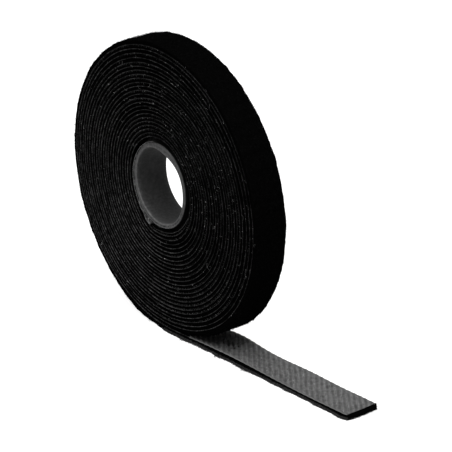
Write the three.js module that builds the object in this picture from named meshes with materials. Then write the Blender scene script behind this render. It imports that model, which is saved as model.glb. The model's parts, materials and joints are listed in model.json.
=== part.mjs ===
// Roll of double-sided hook and loop tape, standing on its rim, with its free end lying flat
// in front of it. Millimetres, +Z up. +X runs along the free end, +Y along the core's bore.
// The origin lies on the standing surface, straight below the roll's axis and halfway
// across the tape.
//
// The tape is two webs back to back: a thin hook web, which faces the core, and a thick web
// of loop pile, which faces out. Each web is one unbroken ribbon in the roll. The free end
// of each web is a piece of its own, which lifts about a line across the tape.
import * as THREE from "three";

// Tape
const tapeWidth = 13;
const pileSetback = 0.1; // the loop web is this much narrower than the hook web, a side
const hookThickness = 0.4;
const bondGap = 0.12; // the glue line between the two webs
const pilePressed = 0.75; // loop pile squeezed between two laps
const pileFree = 1.5; // loop pile on the outermost lap and on the free end
const turnGap = 0.217; // between the pile of one lap and the hooks of the next

// Roll
const laps = 24;
const stepsPerLap = 23;
const firstLapSlack = 0.43; // between the strip and the first lap, were both round the axis
const lapDrift = 1.27; // how far the first lap's centre lies off the roll's axis
const lapDriftAngle = THREE.MathUtils.degToRad(150);

// Core, as long as the tape is wide
const coreRadius = 15.85;
const coreWall = 1.55;
const coreBoreChamfer = 0.45;
const coreOuterChamfer = 0.22;
const coreLeanAngle = THREE.MathUtils.degToRad(148); // it lies against the first lap here
const coreSeatGap = 0.3;
const coreSegments = 48;

// Sticky strip that ties the tape's start to the core
const stripThickness = 0.8;
const stripClearance = 0.15;
const stripStartAngle = THREE.MathUtils.degToRad(100);
const stripSetback = 0.4; // the strip is this much narrower than the tape, a side
const stripSegments = 20;

// Free end
const tailLength = 100; // from below the roll's axis to the cut
const hingeReach = 38; // from below the roll's axis to the line where the free end lifts
const hingeGap = 0.3;
const endCornerRadius = 0.8;
const endCornerSegments = 4;

// The lap grows by one tape and one gap a turn.
const pitch = hookThickness + bondGap + pilePressed + turnGap;
const stepAngle = (2 * Math.PI) / stepsPerLap;
// A lap is a polygon, and its corners lie this much further out than its flats.
const cornerShare = 1 / Math.cos(stepAngle / 2);
// The lowest flat of the outermost lap lies on the standing surface, centred below the axis.
const downAngle = -Math.PI / 2;
const stepsFromStartToDown = 1.5;
const startAngle = downAngle - stepsFromStartToDown * stepAngle;
const windingSteps = laps * stepsPerLap + 1;
const tapeFree = hookThickness + bondGap + pileFree;
const stripOuterRadius = coreRadius + stripClearance + stripThickness;
const firstHookFace = stripOuterRadius + firstLapSlack;
const outerHookFace = firstHookFace + (pitch * windingSteps) / stepsPerLap;
const axisHeight = outerHookFace + tapeFree;

// Distance from the roll's axis to the flat of the hook face, a number of steps from the start.
function hookFace(step) {
  const shareLeft = 1 - step / windingSteps;
  const angle = startAngle + step * stepAngle;
  const drift = lapDrift * shareLeft * Math.cos(angle - lapDriftAngle);
  return firstHookFace + (pitch * step) / stepsPerLap + drift;
}

// The pile swells to its free thickness once nothing lies on it, a few steps after the
// outermost lap has left the standing surface.
function pileThickness(step) {
  const pressedSteps = 2;
  const swellSteps = 3;
  const freeFrom = windingSteps - stepsPerLap + pressedSteps;
  const swell = THREE.MathUtils.clamp((step - freeFrom) / swellSteps, 0, 1);
  return THREE.MathUtils.lerp(pilePressed, pileFree, swell);
}

// A point at a corner of a lap, in the plane of the roll's face.
function lapPoint(step, flatDistance) {
  const angle = startAngle + step * stepAngle;
  const radius = flatDistance * cornerShare;
  return new THREE.Vector2(
    radius * Math.cos(angle),
    axisHeight + radius * Math.sin(angle),
  );
}

// The two edges of a web's section at each corner, from the tape's start to the hinge line.
// A web lies between two distances from the hook face.
function webPath(innerOffset, outerOffset) {
  const inner = [];
  const outer = [];
  for (let step = 0; step <= windingSteps; step++) {
    const face = hookFace(step);
    inner.push(lapPoint(step, face + innerOffset(step)));
    outer.push(lapPoint(step, face + outerOffset(step)));
  }
  // The start is cut square to the ribbon.
  const along = inner[1].clone().sub(inner[0]).normalize();
  const thickness = outerOffset(0) - innerOffset(0);
  outer[0].set(
    inner[0].x + along.y * thickness,
    inner[0].y - along.x * thickness,
  );
  // The run on the standing surface is level and ends square at the hinge line.
  const flatEnd = axisHeight * Math.tan(stepAngle / 2);
  const levelStep = windingSteps;
  for (const reach of [flatEnd, hingeReach]) {
    inner.push(new THREE.Vector2(reach, tapeFree - innerOffset(levelStep)));
    outer.push(new THREE.Vector2(reach, tapeFree - outerOffset(levelStep)));
  }
  return { inner, outer };
}

// A closed ribbon of four-cornered sections across the tape's width.
function ribbon({ inner, outer }, width) {
  const positions = [];
  const indices = [];
  inner.forEach((point, i) => {
    positions.push(point.x, -width / 2, point.y);
    positions.push(outer[i].x, -width / 2, outer[i].y);
    positions.push(outer[i].x, width / 2, outer[i].y);
    positions.push(point.x, width / 2, point.y);
  });
  const quad = (a, b, c, d) => indices.push(a, c, b, a, d, c);
  const sections = inner.length;
  const sides = 4;
  for (let i = 0; i + 1 < sections; i++) {
    for (let side = 0; side < sides; side++) {
      const here = i * sides;
      const next = here + sides;
      const turn = (side + 1) % sides;
      quad(here + side, next + side, next + turn, here + turn);
    }
  }
  quad(0, 1, 2, 3);
  const last = (sections - 1) * sides;
  quad(last + 3, last + 2, last + 1, last);
  const geometry = new THREE.BufferGeometry();
  geometry.setAttribute(
    "position",
    new THREE.Float32BufferAttribute(positions, 3),
  );
  geometry.setIndex(indices);
  geometry.computeVertexNormals();
  return geometry;
}

// The least distance from the inner edge of a ribbon to its own outer edge one lap before,
// measured from each corner and from the middle of each flat.
function leastGap({ inner, outer }) {
  const point = new THREE.Vector3();
  const nearest = new THREE.Vector3();
  const flat = new THREE.Line3();
  const halfLap = Math.floor(stepsPerLap / 2);
  let least = Infinity;
  for (let i = halfLap; i + 1 < inner.length; i++) {
    for (const alongShare of [0, 0.5]) {
      const onEdge = inner[i].clone().lerp(inner[i + 1], alongShare);
      point.set(onEdge.x, onEdge.y, 0);
      for (let j = Math.max(0, i - stepsPerLap - halfLap); j < i - halfLap; j++) {
        flat.start.set(outer[j].x, outer[j].y, 0);
        flat.end.set(outer[j + 1].x, outer[j + 1].y, 0);
        flat.closestPointToPoint(point, true, nearest);
        least = Math.min(least, nearest.distanceTo(point));
      }
    }
  }
  return least;
}

const hookPath = webPath(
  () => 0,
  () => hookThickness,
);
const loopPath = webPath(
  () => hookThickness + bondGap,
  (step) => hookThickness + bondGap + pileThickness(step),
);
console.log("hook_winding least gap to itself", leastGap(hookPath).toFixed(2), "mm");
console.log("loop_winding least gap to itself", leastGap(loopPath).toFixed(2), "mm");

// A tube with both ends chamfered inside and out, turned about Y.
function coreGeometry() {
  const half = tapeWidth / 2;
  const boreRadius = coreRadius - coreWall;
  const profile = [
    [boreRadius, coreBoreChamfer - half],
    [boreRadius + coreBoreChamfer, -half],
    [coreRadius - coreOuterChamfer, -half],
    [coreRadius, coreOuterChamfer - half],
    [coreRadius, half - coreOuterChamfer],
    [coreRadius - coreOuterChamfer, half],
    [boreRadius + coreBoreChamfer, half],
    [boreRadius, half - coreBoreChamfer],
    [boreRadius, coreBoreChamfer - half],
  ].map(([radius, height]) => new THREE.Vector2(radius, height));
  return new THREE.LatheGeometry(profile, coreSegments);
}

// The core's centre, in the plane of the roll's face. With the strip round it, the core lies
// against the first lap on one side, off the roll's axis.
function coreCentre() {
  const fullTurn = 2 * Math.PI;
  const leanStep = THREE.MathUtils.euclideanModulo(coreLeanAngle - startAngle, fullTurn) / stepAngle;
  const shift = hookFace(leanStep) - stripOuterRadius - coreSeatGap;
  return new THREE.Vector2(
    shift * Math.cos(coreLeanAngle),
    axisHeight + shift * Math.sin(coreLeanAngle),
  );
}

// The strip hugs the core from its start, leaves it in a straight line and ends against the
// start of the tape. Its outline is drawn about the core's centre.
function stripGeometry() {
  const centre = coreCentre();
  const innerRadius = coreRadius + stripClearance;
  const tapeInner = hookPath.inner[0];
  const tapeOuter = loopPath.outer[0];
  const back = hookPath.inner[0].clone().sub(hookPath.inner[1]).setLength(hingeGap);
  const innerEnd = tapeInner.clone().add(back).sub(centre);
  const outerEnd = tapeOuter.clone().add(back).sub(centre);
  const leave = (end, radius) => end.angle() - Math.acos(radius / end.length());
  const outline = new THREE.Shape();
  outline.moveTo(innerEnd.x, innerEnd.y);
  outline.absarc(0, 0, innerRadius, leave(innerEnd, innerRadius), stripStartAngle, true);
  outline.absarc(
    0,
    0,
    stripOuterRadius,
    stripStartAngle,
    leave(outerEnd, stripOuterRadius),
    false,
  );
  outline.lineTo(outerEnd.x, outerEnd.y);
  outline.closePath();
  const width = tapeWidth - 2 * stripSetback;
  const geometry = new THREE.ExtrudeGeometry(outline, {
    depth: width,
    bevelEnabled: false,
    curveSegments: stripSegments,
  });
  geometry.translate(0, 0, -width / 2);
  return geometry;
}

// A flat length of web from the hinge gap to the cut, with the cut's corners rounded,
// drawn in plan and as thick as the web.
function tailGeometry(width, thickness) {
  const start = hingeReach + hingeGap;
  const side = width / 2;
  const round = endCornerRadius;
  const outline = new THREE.Shape();
  outline.moveTo(start, -side);
  outline.lineTo(tailLength - round, -side);
  outline.absarc(tailLength - round, round - side, round, -Math.PI / 2, 0, false);
  outline.absarc(tailLength - round, side - round, round, 0, Math.PI / 2, false);
  outline.lineTo(start, side);
  outline.closePath();
  return new THREE.ExtrudeGeometry(outline, {
    depth: thickness,
    bevelEnabled: false,
    curveSegments: endCornerSegments,
  });
}

const coreBoard = new THREE.MeshStandardMaterial({
  color: 0x4a4a4a,
  roughness: 0.85,
  metalness: 0,
});
const stripFilm = new THREE.MeshStandardMaterial({
  color: 0x5c5c5c,
  roughness: 0.7,
  metalness: 0,
});
const hookNylon = new THREE.MeshStandardMaterial({
  color: 0x3c3c3c,
  roughness: 0.8,
  metalness: 0,
});
const loopNylon = new THREE.MeshStandardMaterial({
  color: 0x0c0c0c,
  roughness: 1,
  metalness: 0,
});

function named(name, geometry, material) {
  const mesh = new THREE.Mesh(geometry, material);
  mesh.name = name;
  return mesh;
}

const loopWidth = tapeWidth - 2 * pileSetback;
const coreTube = named("core_tube", coreGeometry(), coreBoard.clone());
const startStrip = named("start_strip", stripGeometry(), stripFilm.clone());
const hookWinding = named("hook_winding", ribbon(hookPath, tapeWidth), hookNylon.clone());
const loopWinding = named("loop_winding", ribbon(loopPath, loopWidth), loopNylon.clone());
const hookTail = named(
  "hook_tail",
  tailGeometry(tapeWidth, hookThickness),
  hookNylon.clone(),
);
const loopTail = named("loop_tail", tailGeometry(loopWidth, pileFree), loopNylon.clone());

// The core lies along Y, as its tube is turned, and the strip's outline stands up to match.
const core = new THREE.Group();
core.position.set(coreCentre().x, 0, coreCentre().y);
startStrip.rotation.x = Math.PI / 2;
core.add(coreTube, startStrip);

hookTail.position.z = bondGap + pileFree;
const tail = new THREE.Group();
tail.add(hookTail, loopTail);

const roll = new THREE.Group();
roll.add(core, hookWinding, loopWinding, tail);

export default roll;
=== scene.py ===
import json
import math

import bpy
import numpy as np
from mathutils import Matrix, Vector

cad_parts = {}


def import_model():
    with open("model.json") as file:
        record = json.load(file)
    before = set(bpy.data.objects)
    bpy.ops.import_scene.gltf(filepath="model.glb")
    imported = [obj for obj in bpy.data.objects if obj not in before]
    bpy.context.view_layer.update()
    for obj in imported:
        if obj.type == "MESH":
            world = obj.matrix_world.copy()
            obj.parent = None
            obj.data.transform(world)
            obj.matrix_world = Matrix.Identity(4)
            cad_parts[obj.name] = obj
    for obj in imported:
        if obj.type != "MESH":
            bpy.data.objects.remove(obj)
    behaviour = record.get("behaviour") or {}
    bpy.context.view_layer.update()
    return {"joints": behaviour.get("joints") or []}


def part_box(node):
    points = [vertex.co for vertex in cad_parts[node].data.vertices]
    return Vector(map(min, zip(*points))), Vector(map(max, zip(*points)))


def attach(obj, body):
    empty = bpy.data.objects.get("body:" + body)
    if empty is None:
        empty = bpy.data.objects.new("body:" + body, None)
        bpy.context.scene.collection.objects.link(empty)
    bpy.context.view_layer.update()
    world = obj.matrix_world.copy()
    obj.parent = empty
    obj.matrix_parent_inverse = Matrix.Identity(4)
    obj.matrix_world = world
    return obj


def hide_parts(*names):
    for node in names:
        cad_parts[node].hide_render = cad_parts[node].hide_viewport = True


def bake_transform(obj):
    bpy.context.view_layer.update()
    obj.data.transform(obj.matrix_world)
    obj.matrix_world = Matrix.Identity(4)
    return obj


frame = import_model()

# A roll of hook and loop tape and its free end. Metres, +Z up, +X along the free end.
MM = 0.001
TAU = 2 * math.pi

# Sizes read from the frame
hook_low, hook_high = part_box("hook_tail")
core_low, core_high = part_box("core_tube")
HALF_WEB = hook_high.y
HALF_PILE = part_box("loop_tail")[1].y
TAIL_END = hook_high.x
HOOK_HEIGHT = hook_high.z
WEB = hook_high.z - hook_low.z
CORE_RADIUS = (core_high.x - core_low.x) / 2
CORE_X = (core_high.x + core_low.x) / 2
CORE_Z = (core_high.z + core_low.z) / 2
HINGE = Vector(frame["joints"][0]["pos_m"])

# The core and the winding, as the frame's are made
CORE_WALL = 1.55 * MM
STRIP_CLEARANCE = 0.15 * MM
STRIP = 0.8 * MM
FIRST_LAP_SLACK = 0.43 * MM
PITCH = 1.487 * MM
LAPS = 24
STEPS_PER_LAP = 23
STEPS_TO_DOWN = 1.5
TURNS = LAPS + 1 / STEPS_PER_LAP
DOWN_TURN = LAPS + STEPS_TO_DOWN / STEPS_PER_LAP
START_ANGLE = -math.pi / 2 - STEPS_TO_DOWN * TAU / STEPS_PER_LAP
LAP_DRIFT = 1.27 * MM
LAP_DRIFT_ANGLE = math.radians(150)
FIRST_HOOK_FACE = CORE_RADIUS + STRIP_CLEARANCE + STRIP + FIRST_LAP_SLACK
AXIS_HEIGHT = FIRST_HOOK_FACE + PITCH * TURNS + HOOK_HEIGHT

# The photograph's camera, about the roll's axis
AZIMUTH = math.radians(53.978)
ELEVATION = math.radians(21.327)
CAMERA_ROLL = math.radians(-2.763)
PICTURE = 452
FOCAL_PIXELS = 3205.49
CAMERA_DISTANCE = 1.1362
AXIS_PIXEL = (177.599, 186.166)
SENSOR = 36


# Smooth functions
def ease(share):
    """A share that starts and stops gently, held between 0 and 1."""
    share = np.clip(share, 0, 1)
    return share * share * (3 - 2 * share)


def hump(x, centre, width):
    """1 at the centre, falling off over a width."""
    return np.exp(-(((x - centre) / width) ** 2))


def ramp(distance, start, width):
    """A rise from 0 to 1 over a width after a start, both in millimetres."""
    return ease((distance / MM - start) / width)


def about(angle, degrees, width):
    """1 at one direction round an axis, falling off over a width. Both are in degrees."""
    return hump((np.degrees(angle) - degrees + 180) % 360, 180, width)


def wander(seed, size, reach):
    """A smooth random function of a distance from 0 to reach, from -1 to 1, with bumps a size apart."""
    knots = np.random.default_rng(seed).uniform(-1, 1, int(reach / size) + 3)

    def at(distance):
        cell = np.clip(distance, 0, reach) / size
        low = np.floor(cell).astype(int)
        share = ease(cell - low)
        return knots[low] * (1 - share) + knots[low + 1] * share

    return at


def patches(seed, size_u, size_v, reach_u, reach_v):
    """A smooth random function of two distances, from -1 to 1."""
    shape = int(reach_u / size_u) + 3, int(reach_v / size_v) + 3
    knots = np.random.default_rng(seed).uniform(-1, 1, shape)

    def at(u, v):
        u, v = np.broadcast_arrays(u, v)
        cell_u = np.clip(u, 0, reach_u) / size_u
        cell_v = np.clip(v, 0, reach_v) / size_v
        i, j = np.floor(cell_u).astype(int), np.floor(cell_v).astype(int)
        a, b = ease(cell_u - i), ease(cell_v - j)
        near = knots[i, j] * (1 - b) + knots[i, j + 1] * b
        far = knots[i + 1, j] * (1 - b) + knots[i + 1, j + 1] * b
        return near * (1 - a) + far * a

    return at


# The line of the tape's hook face
TAPE_START_TURN = -0.018
LAST_LAPS_LOOSE = 0.42 * MM
SAMPLES_PER_TURN = 400
WOUND_SAMPLES = LAPS * SAMPLES_PER_TURN


def over_floor(angle):
    """1 where the surface presses the laps flat."""
    return about(angle, 278, 30)


def lap_stray(turn):
    """How far the laps lie outside an even spiral: loose above the core, propped up by the strip's
    end, tight beside it, pressed flat over the floor and loose again in the last laps."""
    angle, share = START_ANGLE + TAU * turn, turn / TURNS
    inner = np.clip(1 - share / 0.6, 0, 1) ** 1.5
    stray = inner * (0.9 * about(angle, 85, 40) - 0.65 * about(angle, 190, 38))
    stray = stray + 0.75 * np.clip(1 - share / 0.29, 0, 1) * about(angle, 243, 16)
    landing = 1 - ease((turn - TURNS + 0.35) / 0.25)
    stray = stray - 0.45 * ease(share / 0.7) * over_floor(angle) * landing
    loose = ease((share - 0.8) / 0.17) * (1 - over_floor(angle)) * landing
    return MM * stray + LAST_LAPS_LOOSE * loose


def hook_face(turn):
    """Distance from the roll's axis to the hook face, a number of turns from the tape's start."""
    turn = np.minimum(turn, TURNS)
    drift = (1 - turn / TURNS) * np.cos(START_ANGLE + TAU * turn - LAP_DRIFT_ANGLE)
    return FIRST_HOOK_FACE + PITCH * turn + LAP_DRIFT * drift + lap_stray(turn)


def lap_gap(turn):
    """Distance from a place on the hook face to the next lap's hook face."""
    turn = np.minimum(turn, TURNS - 1)
    return hook_face(turn + 1) - hook_face(turn)


def tape_line():
    """Distances along the tape, with the turns, points and outward normals in the roll's plane."""
    turn = np.linspace(TAPE_START_TURN, DOWN_TURN, WOUND_SAMPLES)
    angle = START_ANGLE + TAU * turn
    x = hook_face(turn) * np.cos(angle)
    z = AXIS_HEIGHT + hook_face(turn) * np.sin(angle)
    # A level stretch that is longer than the free end
    level = np.arange(1, 220) * MM
    x = np.append(x, x[-1] + level)
    z = np.append(z, z[-1] + 0 * level)
    turn = np.append(turn, DOWN_TURN + 0 * level)
    along = np.append(0, np.cumsum(np.hypot(np.diff(x), np.diff(z))))
    dx, dz = np.gradient(x, along), np.gradient(z, along)
    size = np.hypot(dx, dz)
    return {"along": along, "turn": turn, "x": x, "z": z, "out_x": dz / size, "out_z": -dx / size}


LINE = tape_line()
# Where the tape comes down onto the surface, where its pile is cut and where its last lap starts
DOWN = float(LINE["along"][WOUND_SAMPLES - 1])
TAPE_END = DOWN + TAIL_END
LAST_LAP = float(np.interp(DOWN_TURN - 1, LINE["turn"][:WOUND_SAMPLES], LINE["along"][:WOUND_SAMPLES]))


def line_at(along, part):
    """One of the line's values at a distance along the tape."""
    return np.interp(along, LINE["along"], LINE[part])


def tape_angle(along):
    """Direction from the roll's axis to a place on the tape."""
    return START_ANGLE + TAU * line_at(along, "turn")


def free_lift(x, across):
    """How far the free end's curled edges rise off the surface."""
    far_share = np.clip(across / HALF_WEB * 0.5 + 0.5, 0, 1)
    x = x / MM
    far_rise = 1.5 * hump(x, 25, 13) + 0.5 * hump(x, 66, 13) + 0.5 * hump(x, 98, 16)
    near_rise = 0.6 * hump(x, 38, 20) + 0.35 * hump(x, 103, 14)
    return MM * (far_share**2 * far_rise + (1 - far_share) ** 2 * near_rise)


def tape_wander(seed, size):
    """A smooth random function along the tape, with bumps sized in millimetres."""
    return wander(seed, size * MM, TAPE_END)


TAIL_SLANT = 0.0095
radial_wander = tape_wander(11, 31)
side_wander = tape_wander(12, 44)
side_flutter = tape_wander(13, 6.5)


def place(along, across, out):
    """Points in space from distances along the tape, across it and outward from its hook face."""
    along, across, out = np.broadcast_arrays(along, across, out)
    reach = along - DOWN
    wound = 1 - ramp(reach, -25, 20)
    out = out + wound * 0.05 * MM * radial_wander(along)
    # The laps stand a little towards the front, the first and last ones less
    share = line_at(along, "turn") / TURNS
    proud = 0.8 * (0.7 + 0.3 * ease(share / 0.3)) * (1 - 0.7 * ease((share - 0.82) / 0.15))
    shift = wound * MM * (0.13 * side_wander(along) + 0.04 * side_flutter(along) - proud)
    # The free end lies aslant, and so does its cut
    shift = shift + 0.5 * MM * ramp(reach, 2, 18) - TAIL_SLANT * np.clip(reach - 20 * MM, 0, None)
    skew = MM * (0.75 + 0.25 * across / HALF_WEB) * ramp(along - TAPE_END, -8, 8)
    x = line_at(along, "x") + out * line_at(along, "out_x") + skew
    z = line_at(along, "z") + out * line_at(along, "out_z") + free_lift(reach, across)
    return np.stack([x, across + shift, z], -1)


# Meshes
def new_object(name, data):
    """An object in the scene."""
    made = bpy.data.objects.new(name, data)
    bpy.context.scene.collection.objects.link(made)
    return made


def outward(points, faces):
    """The faces, turned so that a closed body's volume is above zero."""
    volume = 0.0
    for group in faces:
        a = points[group[:, 0]]
        for k in range(1, group.shape[1] - 1):
            volume += np.einsum("ij,ij->", a, np.cross(points[group[:, k]], points[group[:, k + 1]]))
    return faces if volume >= 0 else [group[:, ::-1] for group in faces]


def mesh_object(name, points, faces, material, **attributes):
    """A smooth mesh from points and lists of faces. Attributes are one number or one vector a point."""
    points = points.reshape(-1, 3)
    faces = outward(points, faces)
    mesh = bpy.data.meshes.new(name)
    corners = np.concatenate([group.ravel() for group in faces])
    sizes = np.concatenate([np.full(len(group), group.shape[1]) for group in faces])
    mesh.vertices.add(len(points))
    mesh.vertices.foreach_set("co", points.astype(np.float32).ravel())
    mesh.loops.add(len(corners))
    mesh.loops.foreach_set("vertex_index", corners.astype(np.int32))
    mesh.polygons.add(len(sizes))
    starts = np.append(0, np.cumsum(sizes)[:-1])
    mesh.polygons.foreach_set("loop_start", starts.astype(np.int32))
    mesh.update(calc_edges=True)
    mesh.polygons.foreach_set("use_smooth", np.ones(len(sizes), bool))
    for key, values in attributes.items():
        kind, field = ("FLOAT_VECTOR", "vector") if values.ndim > 1 else ("FLOAT", "value")
        made = mesh.attributes.new(key, kind, "POINT")
        made.data.foreach_set(field, values.astype(np.float32).ravel())
    mesh.materials.append(material)
    return new_object(name, mesh)


def ring_faces(rings, sides, closed=False):
    """Quads between rings of points, with the last ring joined to the first if closed."""
    last = rings if closed else rings - 1
    i, j = np.meshgrid(np.arange(last), np.arange(sides), indexing="ij")
    here, there = i * sides, (i + 1) % rings * sides
    turn = (j + 1) % sides
    return np.stack([here + j, here + turn, there + turn, there + j], -1).reshape(-1, 4)


def fan_body(name, points, material, shade, **attributes):
    """A closed body made of rings, with a fan about a middle point at each end."""
    rings, sides = points.shape[:2]
    every = np.concatenate([points.reshape(-1, 3), points[[0, -1]].mean(1)])
    turn = np.arange(sides)
    after = (turn + 1) % sides
    base = (rings - 1) * sides
    first = np.stack([np.full(sides, rings * sides), after, turn], -1)
    last = np.stack([np.full(sides, rings * sides + 1), base + turn, base + after], -1)
    faces = [ring_faces(rings, sides), np.concatenate([first, last])]
    shade = np.append(np.broadcast_to(shade, (rings, sides)).ravel(), [1, 1])
    return mesh_object(name, every, faces, material, shade=shade, **attributes)


def tape_body(name, along, across, out, material, shade):
    """A closed body along the tape, from rings of points given in the tape's own distances."""
    points = place(along, across, out)
    along = np.broadcast_to(along, across.shape)
    tape = np.stack([along, across, out], -1).reshape(-1, 3)
    tape = np.concatenate([tape, tape[[0, -1]]])
    return fan_body(name, points, material, shade, tape=tape)


def strands(name, lines, radius, material, shade, sides=3):
    """Closed thin fibres. lines holds the points of each, and radius is one number a fibre."""
    count, rings, _ = lines.shape
    tiny, tip_share = 1e-12, 0.45
    along = np.gradient(lines, axis=1)
    along /= np.linalg.norm(along, axis=2, keepdims=True) + tiny
    chord = lines[:, -1] - lines[:, 0] + 1e-9
    middle = lines[:, rings // 2] - lines[:, 0]
    # A section is turned about the fibre's bend, or about any other line if it is straight
    bend = np.cross(chord, middle)
    spare = np.cross(chord, np.roll(chord, 1, axis=1) + [1e-6, 2e-6, 3e-6])
    weak = np.linalg.norm(bend, axis=1) < 1e-3 * np.linalg.norm(chord, axis=1) ** 2
    bend[weak] = spare[weak]
    one = np.cross(along, bend[:, None, :])
    one /= np.linalg.norm(one, axis=2, keepdims=True) + tiny
    two = np.cross(along, one)
    angle = np.arange(sides) * TAU / sides
    taper = np.ones(rings)
    taper[-1] = tip_share
    width = radius.reshape(-1, 1, 1, 1) * taper[:, None, None]
    ring = one[:, :, None] * np.cos(angle)[:, None] + two[:, :, None] * np.sin(angle)[:, None]
    points = lines[:, :, None] + width * ring
    body = ring_faces(rings, sides)
    caps = np.stack([np.arange(sides)[::-1], (rings - 1) * sides + np.arange(sides)])
    offset = (np.arange(count) * rings * sides)[:, None, None]
    faces = [(body + offset).reshape(-1, 4), (caps + offset).reshape(-1, sides)]
    return mesh_object(name, points, faces, material, shade=np.repeat(shade, rings * sides))


# The web's face shows from here, and these mark both sides of the line where the free end lifts
RUN_START = 11 * MM
BEND_FROM, BEND_TO = HINGE.x - 8 * MM, HINGE.x + 10 * MM
FREE_FROM = DOWN + BEND_FROM


def bends(piece, slot, *nodes):
    """The piece crosses the line where the free end lifts."""
    if nodes:
        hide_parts(*nodes)
    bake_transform(piece)


def rides(piece, slot, *nodes):
    """The piece stays with the roll."""
    if nodes:
        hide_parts(*nodes)
    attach(piece, "roll")


# Materials
def node(tree, kind, inputs, output=0, **settings):
    """An output of a new shader node, whose inputs are linked to sockets or set to values."""
    made = tree.nodes.new(kind)
    for key, value in settings.items():
        setattr(made, key, value)
    for key, value in inputs.items():
        if isinstance(value, bpy.types.NodeSocket):
            tree.links.new(value, made.inputs[key])
        else:
            made.inputs[key].default_value = value
    return made.outputs[output]


def calculate(tree, operation, a, b):
    return node(tree, "ShaderNodeMath", {0: a, 1: b}, operation=operation)


def new_material(name, roughness, specular):
    """A material, its tree and its shader."""
    made = bpy.data.materials.new(name)
    made.use_nodes = True
    shader = made.node_tree.nodes["Principled BSDF"]
    shader.inputs["Roughness"].default_value = roughness
    shader.inputs["Specular IOR Level"].default_value = specular
    return made, made.node_tree, shader


class Finish:
    """A material whose tone is a base grey times several patterns and the mesh's own shade, with
    bumps added up. Patterns are laid out in millimetres, in space or by the tape's own distances."""

    def __init__(self, name, tone, roughness, specular, by_tape=False):
        self.material, self.tree, self.shader = new_material(name, roughness, specular)
        self.tone, self.height = tone, None
        if by_tape:
            source = node(self.tree, "ShaderNodeAttribute", {}, "Vector", attribute_name="tape")
        else:
            source = node(self.tree, "ShaderNodeTexCoord", {}, "Object")
        in_mm = {0: source, "Scale": 1 / MM}
        self.place = node(self.tree, "ShaderNodeVectorMath", in_mm, operation="SCALE")

    def noise(self, size, detail=2.0, turn=(0, 0, 0), scale=(1, 1, 1)):
        """Cloudy patches of a size, turned and stretched."""
        mapping = {"Vector": self.place, "Rotation": turn, "Scale": scale}
        source = node(self.tree, "ShaderNodeMapping", mapping)
        inputs = {"Vector": source, "Scale": 1 / size, "Detail": detail}
        return node(self.tree, "ShaderNodeTexNoise", inputs)

    def threads(self, period, direction):
        """Parallel threads, a period apart."""
        wave_period = TAU / 20
        inputs = {"Vector": self.place, "Scale": wave_period / period, "Distortion": 0.6}
        return node(self.tree, "ShaderNodeTexWave", inputs, "Fac", bands_direction=direction)

    def spread(self, pattern, least, most, low=0.3, high=0.7):
        """The pattern from low to high, spread out from least to most."""
        limits = {"Value": pattern, 1: low, 2: high, 3: least, 4: most}
        return node(self.tree, "ShaderNodeMapRange", limits)

    def paint(self, pattern, dark, light, low=0.3, high=0.7, bump=0):
        """Multiplies the tone by dark where the pattern is low and by light where it is high. The
        pattern can also be a bump, with its full depth in millimetres."""
        factor = self.spread(pattern, dark, light, low, high)
        self.tone = calculate(self.tree, "MULTIPLY", self.tone, factor)
        if bump:
            part = calculate(self.tree, "MULTIPLY", pattern, bump * MM)
            self.height = calculate(self.tree, "ADD", self.height, part) if self.height else part

    def roughen(self, pattern):
        """Roughness that follows a pattern."""
        self.tree.links.new(self.spread(pattern, 0.5, 0.72), self.shader.inputs["Roughness"])

    def done(self):
        """Multiplies the tone by the mesh's shade, one number a point, and links what was made."""
        shade = node(self.tree, "ShaderNodeAttribute", {}, "Fac", attribute_name="shade")
        tone = calculate(self.tree, "MULTIPLY", self.tone, shade)
        self.tree.links.new(tone, self.shader.inputs["Base Color"])
        if self.height:
            bump = node(self.tree, "ShaderNodeBump", {"Height": self.height, "Distance": 1.0})
            self.tree.links.new(bump, self.shader.inputs["Normal"])
        return self.material


# Dark grey nylon weave, a little shiny, with fine threads both ways. Its grey is partly a painted
# sheen, in place of gloss
weave = Finish("hook_nylon", 0.146, 0.6, 0.05, by_tape=True)
speckle = weave.noise(0.16, 3)
weave.paint(weave.threads(0.31, "Y"), 0.86, 1.1, 0, 1, bump=0.02)
weave.paint(weave.threads(0.27, "X"), 0.9, 1.08, 0, 1, bump=0.02)
weave.paint(speckle, 0.8, 1.2, bump=0.015)
weave.paint(weave.noise(2.2), 0.93, 1.06)
weave.roughen(speckle)
HOOK_NYLON = weave.done()

# The web in the roll, seen edge on: the same nylon painted about a third as light, as painted shade on
# the roll's face, and clumped with fibres that hide it in places
edge_on = Finish("hook_edge", 0.046, 0.8, 0.0, by_tape=True)
edge_on.paint(edge_on.noise(0.75, 3), 0.4, 1.65, 0.38, 0.64)
edge_on.paint(edge_on.noise(0.22), 0.5, 1.5)
HOOK_EDGE = edge_on.done()

# Black brushed pile: matted loops with no gloss
matted = Finish("loop_nylon", 0.0017, 1.0, 0.0, by_tape=True)
matted.paint(matted.noise(0.2, 4), 0.5, 1.7, bump=0.09)
matted.paint(matted.noise(0.9), 0.75, 1.3, bump=0.05)
LOOP_NYLON = matted.done()

# Dark grey core: cloudy, with faint slanted streaks from its making
board = Finish("core_board", 0.066, 0.6, 0.12)
cloud = board.noise(3.2, 3)
board.paint(cloud, 0.78, 1.2)
board.paint(board.noise(0.9, 3), 0.76, 1.26, bump=0.03)
streak = board.noise(1.0, turn=(0, math.radians(35), 0), scale=(2.2, 0.5, 0.35))
board.paint(streak, 0.86, 1.22, low=0.35)
board.paint(board.noise(0.18), 0.92, 1.08, bump=0.012)
board.roughen(cloud)
CORE_BOARD = board.done()

# Sticky strip: a paler, blotchy film with small wrinkles
skin = Finish("strip_film", 0.11, 0.8, 0.03)
skin.paint(skin.noise(0.55, 3), 0.5, 1.25, 0.38, 0.62, bump=0.05)
skin.paint(skin.noise(0.35, 3, scale=(1.6, 0.5, 1.6)), 0.85, 1.12, bump=0.03)
STRIP_FILM = skin.done()


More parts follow.
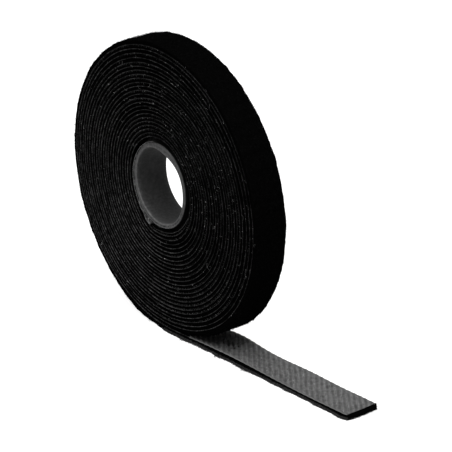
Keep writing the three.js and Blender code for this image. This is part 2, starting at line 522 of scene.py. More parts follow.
def fibre_finish(name, tone, roughness, specular, size=0.5, dark=0.7, light=1.3):
    """Thin fibres, whose tone changes along them over a size."""
    made = Finish(name, tone, roughness, specular)
    made.paint(made.noise(size), dark, light)
    return made.done()


# The hooks' own monofilament, smoother than the web
HOOK_STRAND = fibre_finish("hook_strand", 0.135, 0.55, 0.05, 0.4, 0.85, 1.15)
# Single fibres of the pile, painted twice as light as the mass: a painted highlight where they catch
# more light
LOOP_FIBRE = fibre_finish("loop_fibre", 0.0035, 0.95, 0.01)
# Fibres combed out of the pile along the free end, painted grey: part paler cut ends, part a painted
# highlight where they lie in the open light
SKIRT_FIBRE = fibre_finish("skirt_fibre", 0.062, 0.9, 0.03)
# Pale fibres and specks on the hooks
PALE_SPECKS = fibre_finish("pale_specks", 0.42, 0.8, 0.1, 0.6)


# Hook web
BAND_ANGLE = math.radians(36)
BAND_PERIOD = 1.76 * MM
HOOK_STEP = 0.86 * MM
SELVEDGE = 0.3 * MM
# One step along the tape in the roll
WOUND_STEP = 0.8 * MM
# Round one edge of the web: share of its thickness, inset in millimetres, and its tone in the roll and
# lying flat. In the roll the hook face is painted near black as painted shade between the laps; lying
# flat the edge is painted pale, part selvedge and part painted highlight
WEB_EDGE = (
    (0.1, 0.6, 0.03, 0.8),
    (0.05, 0.24, 0.25, 1.5),
    (0.22, 0.07, 1.2, 2.4),
    (0.5, 0.0, 0.95, 1.3),
    (0.78, 0.07, 0.3, 0.15),
    (0.95, 0.24, 0.06, 0.1),
    (0.9, 0.6, 0.03, 0.1),
)
FREE_REACH, FREE_WIDTH = 200 * MM, 20 * MM
band_waver = patches(21, 5 * MM, 4 * MM, FREE_REACH, FREE_WIDTH)
band_patch = patches(22, 1.1 * MM, 0.9 * MM, FREE_REACH, FREE_WIDTH)


def wave(distance, period):
    """From 0 to 1 and back over each period, with a crest at zero."""
    return 0.5 + 0.5 * np.cos(TAU * distance / period)


def band(x, across):
    """Height share of the slanted ridges, from 0 in a valley to 1 on a crest."""
    over = x * math.sin(BAND_ANGLE) + across * math.cos(BAND_ANGLE)
    down = x * math.cos(BAND_ANGLE) - across * math.sin(BAND_ANGLE)
    over = over + 0.18 * MM * band_waver(x, across + HALF_WEB)
    ridge = wave(over, BAND_PERIOD)
    cross = wave(over - 0.5 * x * math.sin(BAND_ANGLE), BAND_PERIOD)
    return 0.66 * ridge + 0.16 * cross + 0.18 * ridge * wave(down, HOOK_STEP)


def cut_back(x, across):
    """How much shorter the web is than the pile at its slanted cut end."""
    return MM * (0.28 + 0.37 * across / HALF_WEB) * ramp(x - TAIL_END, -8, 8)


def edge_loop(flat):
    """Across, out and tone of the web's plain section, once round it."""
    near = [(-HALF_WEB + inset * MM, share * WEB, tones[flat]) for share, inset, *tones in WEB_EDGE]
    far = [(-across, out, tone) for across, out, tone in reversed(near)]
    return np.array(near + far).T


def wound_web():
    """The web in the roll, of which only the edges show."""
    along = np.arange(0, DOWN + RUN_START, WOUND_STEP)[:, None]
    across, out, tone = edge_loop(flat=False)
    thick = 1 + 0.16 * tape_wander(23, 2.3)(along)
    out = WEB / 2 + (out - WEB / 2) * thick
    flutter = 0.05 * MM * tape_wander(24, 1.7)(along)
    across = across * (1 + flutter / HALF_WEB)
    wear = 1 + 0.3 * tape_wander(25, 3.1)(along) + 0.45 * tape_wander(26, 1.1)(along)
    angle = tape_angle(along)
    # Painted light round the roll: the edges are painted lighter or darker by their direction from the
    # axis, for how the light falls on the roll's face
    turned = 1 - 0.1 * about(angle, 10, 30) + 0.03 * about(angle, 52, 30)
    turned = turned + 0.16 * about(angle, 135, 35) - 0.09 * about(angle, 190, 40)
    turned = turned + 0.1 * about(angle, 230, 30) + 0.12 * about(angle, 300, 40)
    return tape_body("hook_web_wound", along, across, out, HOOK_EDGE, tone * wear * turned)


def flat_web(name, start, end):
    """A length of web whose hook face shows, with its slanted ridges."""
    step, rows, inset = 0.25 * MM, 54, 0.2 * MM
    x = np.arange(start, end + 0.1 * MM, step)[:, None]
    x[-1] = end
    # The hook face's rows take the place of the section's first and last points
    across, out, tone = edge_loop(flat=True)[:, 1:-1]
    top = np.linspace(HALF_WEB - inset, inset - HALF_WEB, rows)
    across = np.append(across, top) + 0 * x
    out, tone = np.append(out, 0 * top), np.append(tone, 0 * top + 1)
    inside = ease((HALF_WEB - 0.18 * MM - np.abs(across)) / SELVEDGE)
    inside[:, :-rows] = 0
    height = band(x, across)
    patch = band_patch(x, across + HALF_WEB)
    out = out - inside * MM * (0.12 * height + 0.03 * patch - 0.02)
    serration = 0.09 * MM * np.cos(TAU * x * math.sin(BAND_ANGLE) / BAND_PERIOD + 1.2)
    at_edge = ramp(np.abs(across) - HALF_WEB, -0.5, 0.5)
    across = across + np.sign(across) * at_edge * serration
    if end >= TAIL_END:
        out = WEB / 2 + (out - WEB / 2) * (1 - 0.5 * ramp(x - end, -0.5, 0.5))
    # Crests painted lighter and valleys darker: part the weave's own pattern, part painted shade in the
    # valleys
    shade = tone * (1 + inside * (0.98 * (height**1.7 - 0.3) + 0.29 * patch))
    # A painted pool of light about 38 mm out from the roll, where its shadow on the free end thins
    shade = shade * (1 + 0.25 * hump(x, 38 * MM, 13 * MM))
    return tape_body(name, DOWN + x - cut_back(x, across), across, out, HOOK_NYLON, shade)


def hook_lines(along, across, lean, rng):
    """Curled hooks that stand on the hook face, as points in space."""
    height = rng.uniform(0.24, 0.32, along.shape) * MM
    curl = rng.uniform(0.1, 0.14, along.shape) * MM
    rise, turn = np.array([-0.35, 0.5, 1.0]), np.radians([60, 120, 175])
    up = np.concatenate([height * rise, height + curl * np.sin(turn)], 1)
    over = np.concatenate([0 * height * rise, curl * (1 - np.cos(turn))], 1)
    return place(along + over * np.cos(lean), across + over * np.sin(lean), -up)


def flat_hooks(name, start, end, seed):
    """Rows of hooks on the ridges of a length of web."""
    rng = np.random.default_rng(seed)
    reach = TAIL_END + 2 * HALF_WEB
    rows, steps = math.ceil(reach / BAND_PERIOD), math.ceil(reach / HOOK_STEP)
    row, step = np.mgrid[-rows:rows, -steps:steps].reshape(2, -1, 1)
    over, down = row * BAND_PERIOD, (step + 0.5 * (row % 2)) * HOOK_STEP
    x = over * math.sin(BAND_ANGLE) + down * math.cos(BAND_ANGLE)
    across = over * math.cos(BAND_ANGLE) - down * math.sin(BAND_ANGLE)
    margin = 0.42 * MM
    kept = (x > start + 0.1 * MM) & (x < end - margin) & (np.abs(across) < HALF_WEB - margin)
    x, across = x[kept][:, None], across[kept][:, None]
    x = x + rng.normal(0, 0.07, x.shape) * MM
    across = across + rng.normal(0, 0.07, x.shape) * MM
    lean = -BAND_ANGLE + rng.normal(0, 0.35, x.shape) + math.pi * rng.integers(0, 2, x.shape)
    lines = hook_lines(DOWN + x - cut_back(x, across), across, lean, rng)
    radius = rng.uniform(0.055, 0.075, len(x)) * MM
    shade = np.clip(np.exp(rng.normal(0.25, 0.6, len(x))), 0.35, 3.6)
    return strands(name, lines, radius, HOOK_STRAND, shade, sides=4)


def wound_hooks():
    """Hooks near both edges of the wound web, where they show between the laps."""
    rng = np.random.default_rng(31)
    along = np.arange(2 * MM, DOWN, HOOK_STEP / math.cos(BAND_ANGLE))
    bare = tape_wander(27, 37)(along)
    along, bare = along[bare > -0.08], bare[bare > -0.08]
    bright = np.tile(0.25 + 0.6 * np.clip(bare, 0, 1), 2)[:, None]
    side = np.repeat([-1, 1], len(along))[:, None]
    along = np.tile(along, 2)[:, None] + rng.normal(0, 0.1, side.shape) * MM
    across = side * (HALF_WEB - rng.uniform(0.02, 0.3, side.shape) * MM)
    lean = side * math.pi / 2 + rng.normal(0, 0.6, side.shape)
    lines = hook_lines(along, across, lean, rng)
    # Painted glints: the hooks of the outer laps are painted up to about three times brighter towards
    # the roll's lower right
    low_right = about(tape_angle(along), 300, 32) * ease(along / DOWN * 2 - 0.8)
    shade = np.clip(np.exp(rng.normal(-0.9, 0.6, side.shape)), 0.05, 1.6)
    shade = bright * shade * (1 + 2.2 * low_right)
    return strands("hooks_wound", lines, np.full(len(side), 0.06 * MM), HOOK_STRAND, shade)


# Loop pile
PILE_IN = WEB - 0.03 * MM
EDGE_ROWS = 6
# The far edge's places in a random pattern start here, past those of the near edge
FAR_PLACE = 10 * MM


def tape_patches(seed, size_along, size_across):
    """Smooth random patches on the tape, sized in millimetres."""
    return patches(seed, size_along * MM, size_across * MM, TAPE_END, 2 * FAR_PLACE)


lump_large = tape_patches(43, 1.0, 0.9)
lump_small = tape_patches(44, 0.4, 0.4)
side_lumps = tape_patches(45, 1.3, 0.5)
tufts = tape_patches(47, 2.0, 12)
clumps = tape_patches(49, 5, 6)
side_slow = tape_wander(46, 9)
back_knots = tape_wander(48, 4.5)
skirt_wander = tape_wander(50, 4)


def wound_pile():
    """The pile between the laps, squeezed, with its lumpy sides set back from the web."""
    along = np.arange(0, LAST_LAP + 6 * MM, WOUND_STEP)[:, None]
    outer = lap_gap(line_at(along, "turn")) + 0.04 * MM
    levels = PILE_IN + (outer - PILE_IN) * np.linspace(0, 1, EDGE_ROWS)
    bulge = np.sin(np.linspace(0, math.pi, EDGE_ROWS)) ** 0.7
    sides = []
    for sign, seed in ((-1, 41), (1, 42)):
        lump = patches(seed, 0.9 * MM, 0.35 * MM, TAPE_END, 4 * MM)
        slow = tape_wander(seed + 10, 7)
        edge = 0.34 - 0.17 * lump(along, levels) - 0.1 * slow(along) + 0.22 * (1 - bulge)
        sides.append(sign * (HALF_WEB - edge * MM))
    across = np.concatenate([sides[0], sides[1][:, ::-1]], 1)
    out = np.concatenate([levels, levels[:, ::-1]], 1)
    # Painted shade: the pile is painted darker towards the roll's upper right, where the top light
    # falls on its sides
    shade = 1 - 0.55 * about(tape_angle(along), 50, 45)
    return tape_body("loop_pile_wound", along, across, out, LOOP_NYLON, shade)


def pile_depth(along):
    """Outward distance of the pile's outer face: pressed below the roll's last lap, then free."""
    pressed = PITCH - 0.06 * MM
    landed = over_floor(tape_angle(along)) * ramp(DOWN - along, 9, 30)
    swollen = HOOK_HEIGHT + LAST_LAPS_LOOSE * landed
    swollen = swollen + 0.95 * MM * hump(along, DOWN - 22 * MM, 14 * MM)
    swollen = swollen + 0.42 * MM * hump(along, LAST_LAP + 33 * MM, 14 * MM)
    return pressed + (swollen - pressed) * ramp(along - LAST_LAP, 3, 24)


def floor_limit(along, across):
    """The greatest outward distance that stays above the floor."""
    down = -line_at(along, "out_z")
    room = line_at(along, "z") + free_lift(along - DOWN, across) - 0.01 * MM
    return np.where(down > 0.3, room / np.maximum(down, 0.3), 1.0)


def on_floor(along):
    """0 on the roll and 1 where the tape lies on the surface."""
    return ramp(along - DOWN, -9, 6)


def back_spread(along, side):
    """How far the pile of the last lap stands out past the web's back edge."""
    knot = np.clip(back_knots(along) - 0.35, 0, 1)
    return (1 - on_floor(along)) * (0.2 * MM * (1 + side) + 0.5 * MM * knot * ease(side))


def skirt_spread(along):
    """How far the pile's skirt splays along the free end, from -2 to 1. It is neater by the cut end."""
    return skirt_wander(along) - hump(along, DOWN + 91 * MM, 11 * MM)


def open_pile(name, start, end):
    """A length of pile whose outer face is free, fluffy all round."""
    step, rows, inner_rows, end_rings = 0.42 * MM, 34, 12, 9
    cut_end = end > TAPE_END
    round_end = 1.5 * MM if cut_end else 0
    along = np.arange(start, end - round_end - 0.3 * MM, step)
    along = np.append(along, np.linspace(end - round_end, end, end_rings if cut_end else 1))[:, None]
    depth = pile_depth(along)
    grounded = on_floor(along)
    # Once round the section: up the near edge, over the outer face, down the far edge and back
    edge, ones = np.linspace(0, 0.86, EDGE_ROWS), np.ones(EDGE_ROWS)
    inner = np.linspace(1, -1, inner_rows + 2)[1:-1]
    share = np.concatenate([edge, np.ones(rows), edge[::-1], 0 * inner])
    side = np.concatenate([-ones, np.linspace(-1, 1, rows), ones, inner])
    face = np.repeat([0, 1, 0], [EDGE_ROWS, rows, EDGE_ROWS + inner_rows])
    out = PILE_IN + (depth - PILE_IN) * share
    swell = 0.16 * np.sin(math.pi * share) + grounded * 0.5 * share**2
    swell = swell + 0.13 * side_lumps(along, out + FAR_PLACE * (side > 0)) + 0.08 * side_slow(along)
    swell = swell + grounded * share * (0.25 + 0.25 * skirt_spread(along))
    half = HALF_PILE - 0.22 * MM + swell * MM * (0.4 + 0.6 * share)
    across = side * np.where(face * (np.abs(side) < 1), HALF_PILE - 0.1 * MM, half)
    spot = across + FAR_PLACE
    rough = 0.09 * lump_large(along, spot) + 0.05 * lump_small(along, spot)
    rough = rough + (1 - grounded) * (0.28 * tufts(along, spot) + 0.12 * clumps(along, spot))
    shoulder = 0.15 * ramp(np.abs(across) - HALF_PILE, -0.9, 0.9) * (1 - grounded)
    out = out + face * MM * (rough - shoulder - 0.1)
    across = across + back_spread(along, side)
    past_cut = along - TAPE_END
    if cut_end:
        shrink = np.sqrt(1 - np.clip(1 - (end - along) / round_end, 0, 0.97) ** 4)
        across = across * (1 - 0.24 * (1 - shrink)) * (1 - 0.1 * share * ramp(past_cut, -1.6, 2.7))
        waist = PILE_IN + 0.35 * (depth - PILE_IN)
        out = waist + (out - waist) * shrink
    at_end = ramp(past_cut, -10, 10) * ease((side + 0.6) / 1.6)
    lift = (1 - at_end) * free_lift(along - DOWN, across) - 0.01 * MM
    out = out + grounded * share * lift
    if cut_end:
        past_web = ramp(past_cut, -0.9, 0.9) * ease((side + 0.2) / 1.2)
        out = out - 0.75 * MM * past_web * (1 - share) * shrink
    out = np.minimum(out, floor_limit(along, across))
    # Painted light: the pile's lower sides where it lies on the floor are painted up to fifteen times
    # lighter, for the top light on its splayed base
    skirt = 1 + 14 * grounded * ease((share - 0.5) / 0.5) * (1 - face)
    return tape_body(name, along, across, out, LOOP_NYLON, skirt)


# Fibres. Each is one row, so that what is drawn for it is a column.
FIBRE_SHARE = np.linspace(0, 1, 5)
ARCH = np.sin(math.pi * FIBRE_SHARE)


def rim_fibres(name, start, end, count, seed):
    """Small arched loops of the free pile on the roll's rim."""
    rng, column = np.random.default_rng(seed), (count, 1)
    along = rng.uniform(start, end, column)
    across = rng.uniform(-1, 1, column) * (HALF_PILE - 0.1 * MM)
    across = across + back_spread(along, across / HALF_PILE)
    out = pile_depth(along) - 0.22 * MM
    lean = rng.uniform(0, TAU, column)
    height = rng.uniform(0.18, 0.62, column) * MM * (1 + 0.6 * tufts(along, across + FAR_PLACE))
    over = rng.uniform(0.3, 1.1, column) * MM * (FIBRE_SHARE - 0.5)
    lines = place(along + over * np.cos(lean), across + over * np.sin(lean), out + height * ARCH)
    radius = rng.uniform(0.022, 0.04, count) * MM
    return strands(name, lines, radius, LOOP_FIBRE, rng.uniform(0.6, 3.0, count))


def side_fibres(name, side, start, end, count, seed, free=False):
    """Short fibres that stick out of the pile at one edge of the tape, pressed or free."""
    rng, column = np.random.default_rng(seed), (count, 1)
    along = rng.uniform(start, end, column)
    depth = pile_depth(along) if free else PITCH
    out = WEB + (depth - WEB) * rng.uniform(0.1, 0.9, column)
    length = rng.gamma(3, 0.2, column) * MM
    lean = rng.uniform(0, TAU, column)
    share = np.linspace(0, 1, 4)
    beyond = HALF_WEB - 0.6 * MM + length * (0.75 * share + 0.1)
    bend = length * share**1.6 * rng.uniform(0.2, 0.9, column)
    out = out + bend * np.sin(lean)
    if free:
        beyond = beyond + back_spread(along, side)
        ground = HOOK_HEIGHT + free_lift(along - DOWN, side * HALF_WEB)
        out = np.minimum(out, ground - 0.03 * MM)
    lines = place(along + bend * np.cos(lean), side * beyond, out)
    radius = rng.uniform(0.02, 0.038, count) * MM
    angle = tape_angle(along)
    # Painted light: the fibres are painted paler on the roll's left and darker at its upper right, for
    # how light falls on the face
    shade = 1 + 3 * about(angle, 210, 55) - 0.6 * about(angle, 45, 45)
    return strands(name, lines, radius, LOOP_FIBRE, rng.uniform(0.25, 1.0, column) * shade)


def splayed(name, rng, along, across, ground, high, low):
    """Grey brushed fibres that bend over the surface, from a high start to a low end."""
    height = high + (low - high) * FIBRE_SHARE**2 + 0.12 * MM * ARCH
    lines = place(along, across, ground - 0.03 * MM - height)
    radius = rng.uniform(0.025, 0.045, len(high)) * MM
    return strands(name, lines, radius, SKIRT_FIBRE, rng.uniform(0.3, 1.8, len(high)))


def skirt_fibres(name, side, start, end, count, seed):
    """Fibres that splay out from under one edge of the free end."""
    rng, column = np.random.default_rng(seed), (count, 1)
    along = rng.uniform(start, end, column)
    ground = HOOK_HEIGHT + free_lift(along - DOWN, side * HALF_WEB)
    high = rng.uniform(0.1, 1.0, column) * MM
    low = high * rng.uniform(0.05, 0.7, column)
    spread, root = skirt_spread(along), 0.25 * MM
    reach = rng.gamma(2.2, 0.17, column) * MM * ramp(TAPE_END - along, -0.6, 3)
    reach = reach * (1.15 + 0.4 * spread) + 0.25 * MM * (spread + 1)
    along = along + rng.normal(0, 0.35, column) * MM * FIBRE_SHARE
    across = side * (HALF_PILE - root + (reach + root) * FIBRE_SHARE)
    return splayed(name, rng, along, across, ground, high, low)


def end_fibres(name, count, seed):
    """The same fibres at the cut end."""
    rng, column = np.random.default_rng(seed), (count, 1)
    across = rng.uniform(-1, 1, column) * (HALF_PILE - 0.2 * MM)
    raised = ease((across / HALF_PILE + 0.6) / 1.6)
    ground = HOOK_HEIGHT + free_lift(TAIL_END, across) * (1 - raised) - 0.25 * MM * raised
    high = rng.uniform(0.1, 1.3, column) * MM
    low = high * rng.uniform(0.05, 0.8, column)
    reach = rng.uniform(0.3, 1.35, column) * MM * np.sqrt(1 - (across / HALF_PILE) ** 4)
    root = 0.1 * MM
    along = TAPE_END - root + (reach + root) * FIBRE_SHARE
    across = across + rng.normal(0, 0.3, column) * MM * FIBRE_SHARE
    return splayed(name, rng, along, across, ground, high, low)


def pale_speck_fibres():
    """Pale specks and threads on the webs' edges, more of them on the right of the roll."""
    rng, most, thread_share, front_share = np.random.default_rng(61), 1050, 0.22, 0.6
    along = rng.uniform(0, DOWN - 10 * MM, 4 * most)
    angle = tape_angle(along)
    chance = 0.18 + 0.8 * about(angle, 20, 60) + 0.55 * about(angle, 105, 40)
    along = along[rng.uniform(0, 1, len(along)) < chance][:most, None]
    column = along.shape
    thread = rng.uniform(0, 1, column) < thread_share
    length = np.where(thread, rng.gamma(3, 0.35, column), rng.uniform(0.12, 0.4, column)) * MM
    radius = np.where(thread, rng.uniform(0.025, 0.045, column), rng.uniform(0.05, 0.11, column)) * MM
    lean = rng.uniform(0, TAU, column)
    side = np.where(rng.uniform(0, 1, column) < front_share, -1, 1)
    over = length * (FIBRE_SHARE - 0.5)
    arch = rng.uniform(0.1, 0.5, column) * length * ARCH
    level = np.where(thread, rng.uniform(0, 1.4, column), rng.normal(0.1, 0.22, column)) * MM
    lines = place(
        along + over * np.cos(lean) - arch * np.sin(lean),
        side * (HALF_WEB + rng.uniform(-0.05, 0.12, column) * MM),
        level + over * np.sin(lean) + arch * np.cos(lean),
    )
    bright = np.clip(np.exp(rng.normal(-1.0, 0.7, column)), 0.08, 2.0)
    return strands("pale_specks", lines, radius, PALE_SPECKS, bright, sides=4)


# Core and strip
BORE = CORE_RADIUS - CORE_WALL
# The core is squashed along this direction
SQUASH_ANGLE = math.radians(70)
# It lies askew in the roll: how far its middle and its back stand off
CORE_LEAN = np.array([0.25, 0, 0.07]) * MM
# Greatest angle of a random pattern round the core, in radians
ROUND = 7
seam_dashes = wander(74, 0.045, ROUND)


def around_core(angle, radius, across):
    """Points about the core's own axis."""
    angle, radius, across = np.broadcast_arrays(angle, radius, across)
    return np.stack([CORE_X + radius * np.cos(angle), across, CORE_Z + radius * np.sin(angle)], -1)


def squash(angle):
    """1 where the core is pulled out and -1 where it is pressed in."""
    return np.cos(2 * (angle - SQUASH_ANGLE))


def core_radius(angle):
    """The core's outer radius: the tape squashes it a little."""
    return CORE_RADIUS - 0.2 * MM + 0.4 * MM * squash(angle)


def bore_stray(angle):
    """How far the bore lies outside its own round: squashed less, and thick-walled at the top."""
    return MM * (0.25 * squash(angle) - 0.15 - 1.22 * about(angle, 69, 29))


def core_profile():
    """Radius, distance across, and 1 on the seam of the board's layers, once round the core's wall."""
    lip, corner, bore_rows = 0.22 * MM, 0.2 * MM, 9
    turn = [(1 - math.cos(angle), 1 - math.sin(angle)) for angle in np.linspace(0, math.pi / 2, 5)]
    groove = ((0.98, 0, 0), (0.86, 0.14, 1), (0.56, 0.14, 1), (0.44, 0, 0))
    half = [(BORE, share * (HALF_WEB - lip), 0) for share in np.linspace(0, 0.95, bore_rows)]
    half += [(BORE + lip * a, HALF_WEB - lip * b, 0) for a, b in turn]
    half += [(CORE_RADIUS - inset * MM, HALF_WEB - depth * MM, seam) for inset, depth, seam in groove]
    half += [(CORE_RADIUS - corner * b, HALF_WEB - corner * a, 0) for a, b in turn]
    half += [(CORE_RADIUS, share * HALF_WEB, 0) for share in (0.92, 0.5)]
    other = [(radius, -across, seam) for radius, across, seam in reversed(half[1:])]
    return np.array(half + other)


def core():
    """The core's shell, with its wall's layers showing at both mouths."""
    segments = 300
    radius, across, seam = core_profile().T
    past_edge = np.abs(across) - HALF_WEB
    angle = np.arange(segments)[:, None] * TAU / segments
    dent = patches(71, 0.35, 2 * MM, ROUND, 16 * MM)
    outer_share = np.clip((radius - BORE) / CORE_WALL, 0, 1)
    stray = bore_stray(angle) * (1 - outer_share) + (core_radius(angle) - CORE_RADIUS) * outer_share
    away = radius + stray + 0.04 * MM * dent(angle, across + HALF_WEB)
    side = across + 0.035 * MM * (past_edge > -0.8 * MM) * dent(angle + 0.5, radius)
    points = around_core(angle, away, side) + (side / HALF_WEB + 1)[..., None] * CORE_LEAN
    faces = [ring_faces(segments, len(radius), closed=True)]
    # The bore's tone: painted shade, darkest deep inside and brighter towards its mouths and at the
    # lower right, where light comes in. The ring's: painted lighter on the left and at the bottom, with
    # a painted highlight on the lip
    mouth = ramp(past_edge, -0.5, 0.4)
    wall = 0.37 + 0.05 * about(angle, 255, 45) + 0.85 * about(angle, 322, 36)
    wall = wall * (1 + 2.6 * np.exp(past_edge / (0.9 * MM)))
    ring = 1.6 + 0.5 * about(angle, 200, 70) + 0.45 * about(angle, 285, 25)
    ring = ring * (1 + 0.12 * hump(radius, BORE + 0.1 * MM, 0.3 * MM))
    shade = wall * (1 - mouth) + ring * mouth
    # The dark dashes of its seam and of its outer corner, and its outside painted near black as painted
    # shade in the gap under the first lap
    dashes = np.clip(0.75 + 1.4 * seam_dashes(angle), 0.1, 1)
    shade = shade * (1 - seam * dashes * (0.2 + 0.75 * about(angle, 275, 55)))
    rind = ramp(radius - CORE_RADIUS, -0.42, 0.15) * about(angle, 155, 60)
    shade = shade * (1 - 0.9 * rind * dashes)
    painted_shade_outside = (radius > CORE_RADIUS - 0.01 * MM) & (np.abs(across) < 0.95 * HALF_WEB)
    shade = np.where(painted_shade_outside, 0.02, shade)
    return mesh_object("core_shell", points, faces, CORE_BOARD, shade=shade.ravel())


# Direction from the core's axis in degrees and thickness in millimetres: the strip starts thin on
# the core, carries the tape's start on a thick wedge, and ends as a film
STRIP_SECTION = (
    (100, 0.12), (116, 0.33), (150, 0.52), (165, 0.75), (207, 0.87), (217, 0.96), (220, 1.2),
    (231, 1.34), (238, 2.3), (244, 2.45), (246.6, 2.4), (247.4, 0.3), (256, 0.14), (268, 0.1),
)
# Share of the thickness and tone, from the strip's skin to the core, across its end face
STRIP_FACE = (
    (0.0, 1.0), (0.12, 1.1), (0.3, 0.65), (0.5, 0.62), (0.7, 0.6), (0.85, 0.55), (1.0, 0.4),
)


def first_lap_distance(angle):
    """Distance from the core's axis to the first lap's hook face, found by a few tries."""
    distance = np.full(angle.shape, FIRST_HOOK_FACE)
    for _ in range(4):
        x = CORE_X + distance * np.cos(angle)
        z = CORE_Z - AXIS_HEIGHT + distance * np.sin(angle)
        turn = (np.arctan2(z, x) - START_ANGLE) / TAU % 1
        distance = distance + hook_face(turn) - np.hypot(x, z)
    return distance


def strip():
    """The strip's skin, with finer steps at the wedge's sharp end, filled up to the first lap."""
    fine_from, fine_to = 236, 252
    start, end = STRIP_SECTION[0][0], STRIP_SECTION[-1][0]
    coarse, fine = np.arange(start, fine_from, 1.0), np.arange(fine_from, fine_to, 0.35)
    degrees = np.concatenate([coarse, fine, np.arange(fine_to, end + 0.5, 1.5)])[:, None]
    angle = np.radians(degrees)
    thick = np.interp(degrees, *np.array(STRIP_SECTION).T) * MM
    half, skin_rows, skin_tone = HALF_WEB - 0.04 * MM, 7, 0.35
    face_share, face_tone = np.array(STRIP_FACE).T
    row = np.linspace(-half, half, skin_rows + 2)[1:-1]
    share = np.concatenate([face_share[::-1], 0 * row, face_share])
    side = np.concatenate([0 * face_share - half, row, 0 * face_share + half])
    tone = np.concatenate([face_tone[::-1], 0 * row + skin_tone, face_tone])
    bulge = 0.1 * MM * np.sign(side) * np.sin(math.pi * share) ** 0.5
    lump = patches(72, 0.06, 1.5 * MM, ROUND, 20 * MM)
    radius = core_radius(angle) + 0.03 * MM + thick * (1 - share)
    radius = radius + 0.04 * MM * lump(angle, side + half) * (1 - share)
    filled = (np.abs(side) < half - 3 * MM) * ease((degrees - start) / 12)
    radius = radius + filled * np.clip(first_lap_distance(angle) - radius, 0, None)
    side = side + bulge + 0.06 * MM * lump(angle + 1, share * 8 * MM + half)
    # Blotches on the end face, and a dark broken gap between the strip and the core
    speck = patches(75, 0.045, 0.4 * MM, ROUND, 20 * MM)(angle, (1 - share) * thick + 2 * MM)
    wedge = ease((degrees - 205) / 15)
    gap = ease((share - 0.5 + 0.2 * wedge) / 0.12) * np.clip(0.9 + 1.4 * seam_dashes(angle), 0, 1)
    speck = speck * (0.5 + 1.5 * wedge) * ease(share / 0.3)
    shade = tone * np.clip(2.9 + 0.4 * wedge + speck, 0.08, 5.0)
    # Painted shade: the strip is painted darker past the wedge's end, where it runs into the dark gap
    # under the core
    shade = shade * (1 - 0.75 * ease(degrees - 247)) * (1 - (0.9 - 0.3 * wedge) * gap)
    return fan_body("start_strip_skin", around_core(angle, radius, side), STRIP_FILM, shade)


# Direction from the roll's axis in degrees and distance from it in millimetres, along the loose film
FILM_LINE = (
    (236, 18.1), (245, 17.8), (255, 16.9), (265, 16.25), (275, 15.85), (285, 15.6),
    (300, 15.25), (315, 15.2), (330, 15.5), (340, 16.1), (347, 17.0),
)


def film():
    """The strip's loose tail, which bows inward under the first lap. Only its front edge is pale; the
    rest is painted near black as painted shade in the gap.
    """
    rings, blur = 90, 9
    film_degrees, film_distance = np.array(FILM_LINE).T
    degrees = np.linspace(film_degrees[0], film_degrees[-1], rings)
    distance = np.pad(np.interp(degrees, film_degrees, film_distance), blur // 2, mode="edge")
    distance = np.convolve(distance, np.full(blur, 1 / blur), "valid") * MM
    turn = np.radians(degrees)
    centre = np.stack([distance * np.cos(turn), AXIS_HEIGHT + distance * np.sin(turn)], -1)
    along = np.gradient(centre, axis=0)
    away = np.stack([along[:, 1], -along[:, 0]], -1) / np.linalg.norm(along, axis=1, keepdims=True)
    front, back, thick = 0.15 * MM - HALF_WEB, 0.8 * (HALF_WEB - 0.15 * MM), 0.09 * MM
    rim = front + 0.05 * MM
    across = np.array([front, front, rim, back, back, rim])
    out = np.array([-thick, thick, thick, thick, -thick, -thick])
    # Painted shade: all but the front edge is painted near black
    tone = (0.9, 0.9, 0.02, 0.02, 0.02, 0.02)
    flutter = 0.12 * MM * wander(76, 9, rings)(np.arange(rings))
    x = centre[:, None, 0] + away[:, None, 0] * out
    z = centre[:, None, 1] + away[:, None, 1] * out
    points = np.stack([x, across + flutter[:, None], z], -1)
    sides = len(across)
    caps = np.array([np.arange(sides), (rings - 1) * sides + np.arange(sides)[::-1]])
    faces = [ring_faces(rings, sides), caps]
    return mesh_object("start_film", points, faces, STRIP_FILM, shade=np.tile(tone, rings))


# Stage, lights and camera
def background_ray(tree):
    """1 for the camera and for what glossy and clear surfaces show, else 0."""
    path = tree.nodes.new("ShaderNodeLightPath").outputs
    seen = calculate(tree, "MAXIMUM", path["Is Camera Ray"], path["Is Glossy Ray"])
    return calculate(tree, "MAXIMUM", seen, path["Is Transmission Ray"])


def stage():
    """A pale floor that shows as white and keeps the object's shadow."""
    size, tone, glow = 1.6, 0.5, 0.95
    finish, tree, shader = new_material("pale_floor", 1.0, 0.0)
    shader.inputs["Base Color"].default_value = (tone, tone, tone, 1)
    shader.inputs["Emission Color"].default_value = (1, 1, 1, 1)
    strength = calculate(tree, "MULTIPLY", background_ray(tree), glow)
    tree.links.new(strength, shader.inputs["Emission Strength"])
    corners = size * np.array([[-1, -1, 0], [1, -1, 0], [1, 1, 0], [-1, 1, 0]])
    mesh_object("floor", corners, [np.array([[0, 1, 2, 3]])], finish)


def world():
    """White where it is seen, and a soft fill light elsewhere."""
    fill, white = 0.035, 1.0
    made = bpy.data.worlds.new("studio")
    made.use_nodes = True
    bpy.context.scene.world = made
    tree = made.node_tree
    background = tree.nodes["Background"]
    background.inputs["Color"].default_value = (1, 1, 1, 1)
    limits = {"Value": background_ray(tree), 1: 0.0, 2: 1.0, 3: fill, 4: white}
    strength = node(tree, "ShaderNodeMapRange", limits)
    tree.links.new(strength, background.inputs["Strength"])


def softbox(name, position, watts, width, length):
    """A rectangular lamp that looks at the middle of the object."""
    light = bpy.data.lights.new(name, "AREA")
    light.energy = watts
    light.shape = "RECTANGLE"
    light.size, light.size_y = width, length
    lamp = new_object(name, light)
    lamp.location = position
    aim = Vector((0.02, 0, 0.04)) - lamp.location
    lamp.rotation_euler = aim.to_track_quat("-Z", "Y").to_euler()


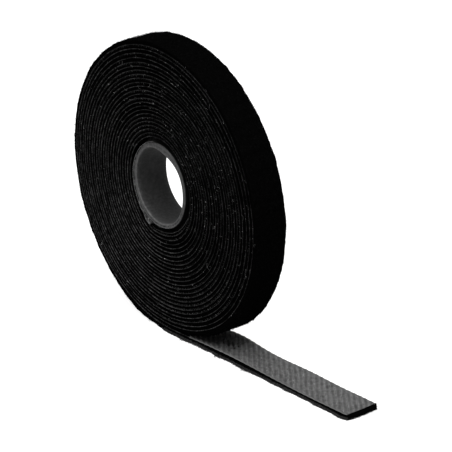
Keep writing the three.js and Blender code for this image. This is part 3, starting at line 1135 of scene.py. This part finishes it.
def camera():
    """The photograph's camera: the roll's axis falls on its own pixel."""
    turn = Matrix.Rotation(AZIMUTH, 3, "Z") @ Matrix.Rotation(math.pi / 2 - ELEVATION, 3, "X")
    turn = turn @ Matrix.Rotation(CAMERA_ROLL, 3, "Z")
    right, up, back = turn.transposed()
    per_pixel = CAMERA_DISTANCE / FOCAL_PIXELS
    centre = PICTURE / 2
    place_at = Vector((0, 0, AXIS_HEIGHT)) + back * CAMERA_DISTANCE
    place_at -= right * (AXIS_PIXEL[0] - centre) * per_pixel
    place_at += up * (AXIS_PIXEL[1] - centre) * per_pixel
    data = bpy.data.cameras.new("camera")
    data.sensor_width = SENSOR
    data.lens = FOCAL_PIXELS * SENSOR / PICTURE
    data.clip_start, data.clip_end = 0.05, 20
    made = new_object("camera", data)
    made.matrix_world = Matrix.Translation(place_at) @ turn.to_4x4()
    bpy.context.scene.camera = made


# The core and the strip
rides(core(), "core_board", "core_tube")
rides(strip(), "strip_film", "start_strip")
rides(film(), "strip_film")

# The tape
rides(wound_web(), "hook_nylon", "hook_winding")
rides(wound_hooks(), "hook_nylon")
rides(flat_web("hook_web_run", RUN_START, BEND_FROM), "hook_nylon", "hook_winding")
rides(flat_hooks("hooks_run", RUN_START, BEND_FROM, 32), "hook_nylon")
bends(flat_web("hook_web_free", BEND_FROM, TAIL_END), "hook_nylon", "hook_tail")
bends(flat_hooks("hooks_free", BEND_FROM, TAIL_END, 33), "hook_nylon")
rides(wound_pile(), "loop_nylon", "loop_winding")
rides(open_pile("loop_pile_outer", LAST_LAP + 5 * MM, FREE_FROM), "loop_nylon", "loop_winding")
bends(open_pile("loop_pile_free", FREE_FROM, TAPE_END + 1.1 * MM), "loop_nylon", "loop_tail")

# Loose fibres on the rim, on both faces and along both edges of the free end
rides(rim_fibres("rim_fuzz", LAST_LAP + 8 * MM, DOWN - 10 * MM, 7500, 51), "loop_nylon")
for face, edge, side, seed in (("front", "near", -1, 52), ("back", "far", 1, 53)):
    fuzz = (
        side_fibres(face + "_fuzz", side, 0, LAST_LAP, 9000, seed),
        side_fibres(face + "_edge_fuzz", side, LAST_LAP, FREE_FROM, 2150, seed + 2, free=True),
        skirt_fibres(edge + "_run_skirt", side, DOWN - 4 * MM, FREE_FROM, 2100, seed + 6),
    )
    free_fuzz = (
        side_fibres(edge + "_free_fuzz", side, FREE_FROM, TAPE_END, 790, seed + 4, free=True),
        skirt_fibres(edge + "_free_skirt", side, FREE_FROM, TAPE_END, 4060, seed + 16),
    )
    for piece in fuzz:
        rides(piece, "loop_nylon")
    for piece in free_fuzz:
        bends(piece, "loop_nylon")
bends(end_fibres("end_skirt", 800, 60), "loop_nylon")
rides(pale_speck_fibres(), "hook_nylon")

stage()
world()
softbox("top_softbox", (0.55, -0.4, 2.0), watts=44, width=0.9, length=2.3)
softbox("front_softbox", (0.8, -1.6, 1.4), watts=2.7, width=1.2, length=1.2)
camera()
bpy.context.scene.view_settings.view_transform = "Standard"
